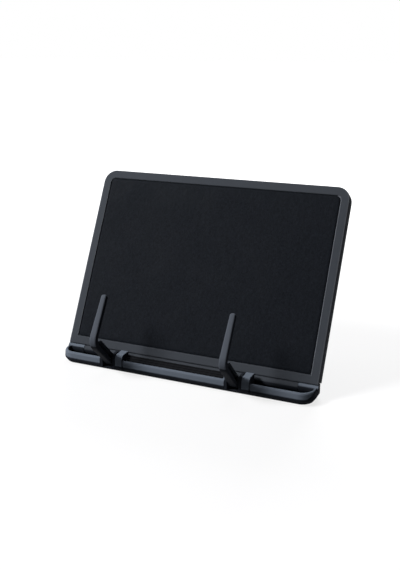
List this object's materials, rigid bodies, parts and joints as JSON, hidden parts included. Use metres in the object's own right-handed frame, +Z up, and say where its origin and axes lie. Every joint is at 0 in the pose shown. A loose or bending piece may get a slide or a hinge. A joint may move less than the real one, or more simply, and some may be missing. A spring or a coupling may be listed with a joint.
{
  "type": "book stand",
  "caption": "Tilting book stand: framed back panel on a shallow tray, easel leg behind, and sprung elbowed page holders in front.",
  "frame": {"origin": "on the table plane, at mid width, straight under the tilt axis, on the face of the middle rubber foot", "axes": "+X along the panel's width, from the left page holder to the right; +Y from the tray's front towards the rear leg; +Z up"},
  "size_m": [0.3, 0.1774, 0.2045],
  "materials": {
    "black_plastic": "fine satin moulded texture",
    "arm_plastic": "satin",
    "textured_field": "wavy moulded grain",
    "rubber": "matt",
    "steel": "drawn",
    "spring_steel": "bright drawn wire and strip"
  },
  "bodies": {
    "base": {"base_tray": "black_plastic", "base_bottom_plate": "black_plastic", "base_feet": "rubber", "base_screws": "steel", "grip_strip": "rubber", "tilt_pin_left": "steel", "tilt_pin_right": "steel", "bracket_left": "black_plastic", "bracket_right": "black_plastic", "holder_pin_left": "steel", "holder_pin_right": "steel", "holder_spring_left": "spring_steel", "holder_spring_right": "spring_steel"},
    "panel": {"panel_frame": "black_plastic", "panel_field": "textured_field", "rear_cover": "black_plastic", "panel_screws": "steel", "click_spring_left": "spring_steel", "click_spring_right": "spring_steel", "leg_pin_left": "steel", "leg_pin_right": "steel"},
    "leg": {"rear_leg": "arm_plastic", "leg_foot": "rubber"},
    "left_holder": {"holder_left": "arm_plastic"},
    "right_holder": {"holder_right": "arm_plastic"}
  },
  "joints": [
    {"name": "panel_tilt", "type": "hinge", "parent": "base", "child": "panel", "pos_m": [0, 0, 0.0105], "axis": [-1, 0, 0], "range_deg": [0, 60]},
    {"name": "leg_swing", "type": "hinge", "parent": "panel", "child": "leg", "pos_m": [0, 0.09419, 0.18467], "axis": [1, 0, 0], "range_deg": [-36, 66], "deforming": ["click_spring_left", "click_spring_right"]},
    {"name": "left_holder_swing", "type": "hinge", "parent": "base", "child": "left_holder", "pos_m": [-0.087, -0.016, 0.0106], "axis": [1, 0, 0], "range_deg": [-37, 40], "deforming": ["holder_spring_left"]},
    {"name": "right_holder_swing", "type": "hinge", "parent": "base", "child": "right_holder", "pos_m": [0.0635, -0.016, 0.0106], "axis": [1, 0, 0], "range_deg": [-37, 40], "deforming": ["holder_spring_right"]}
  ]
}
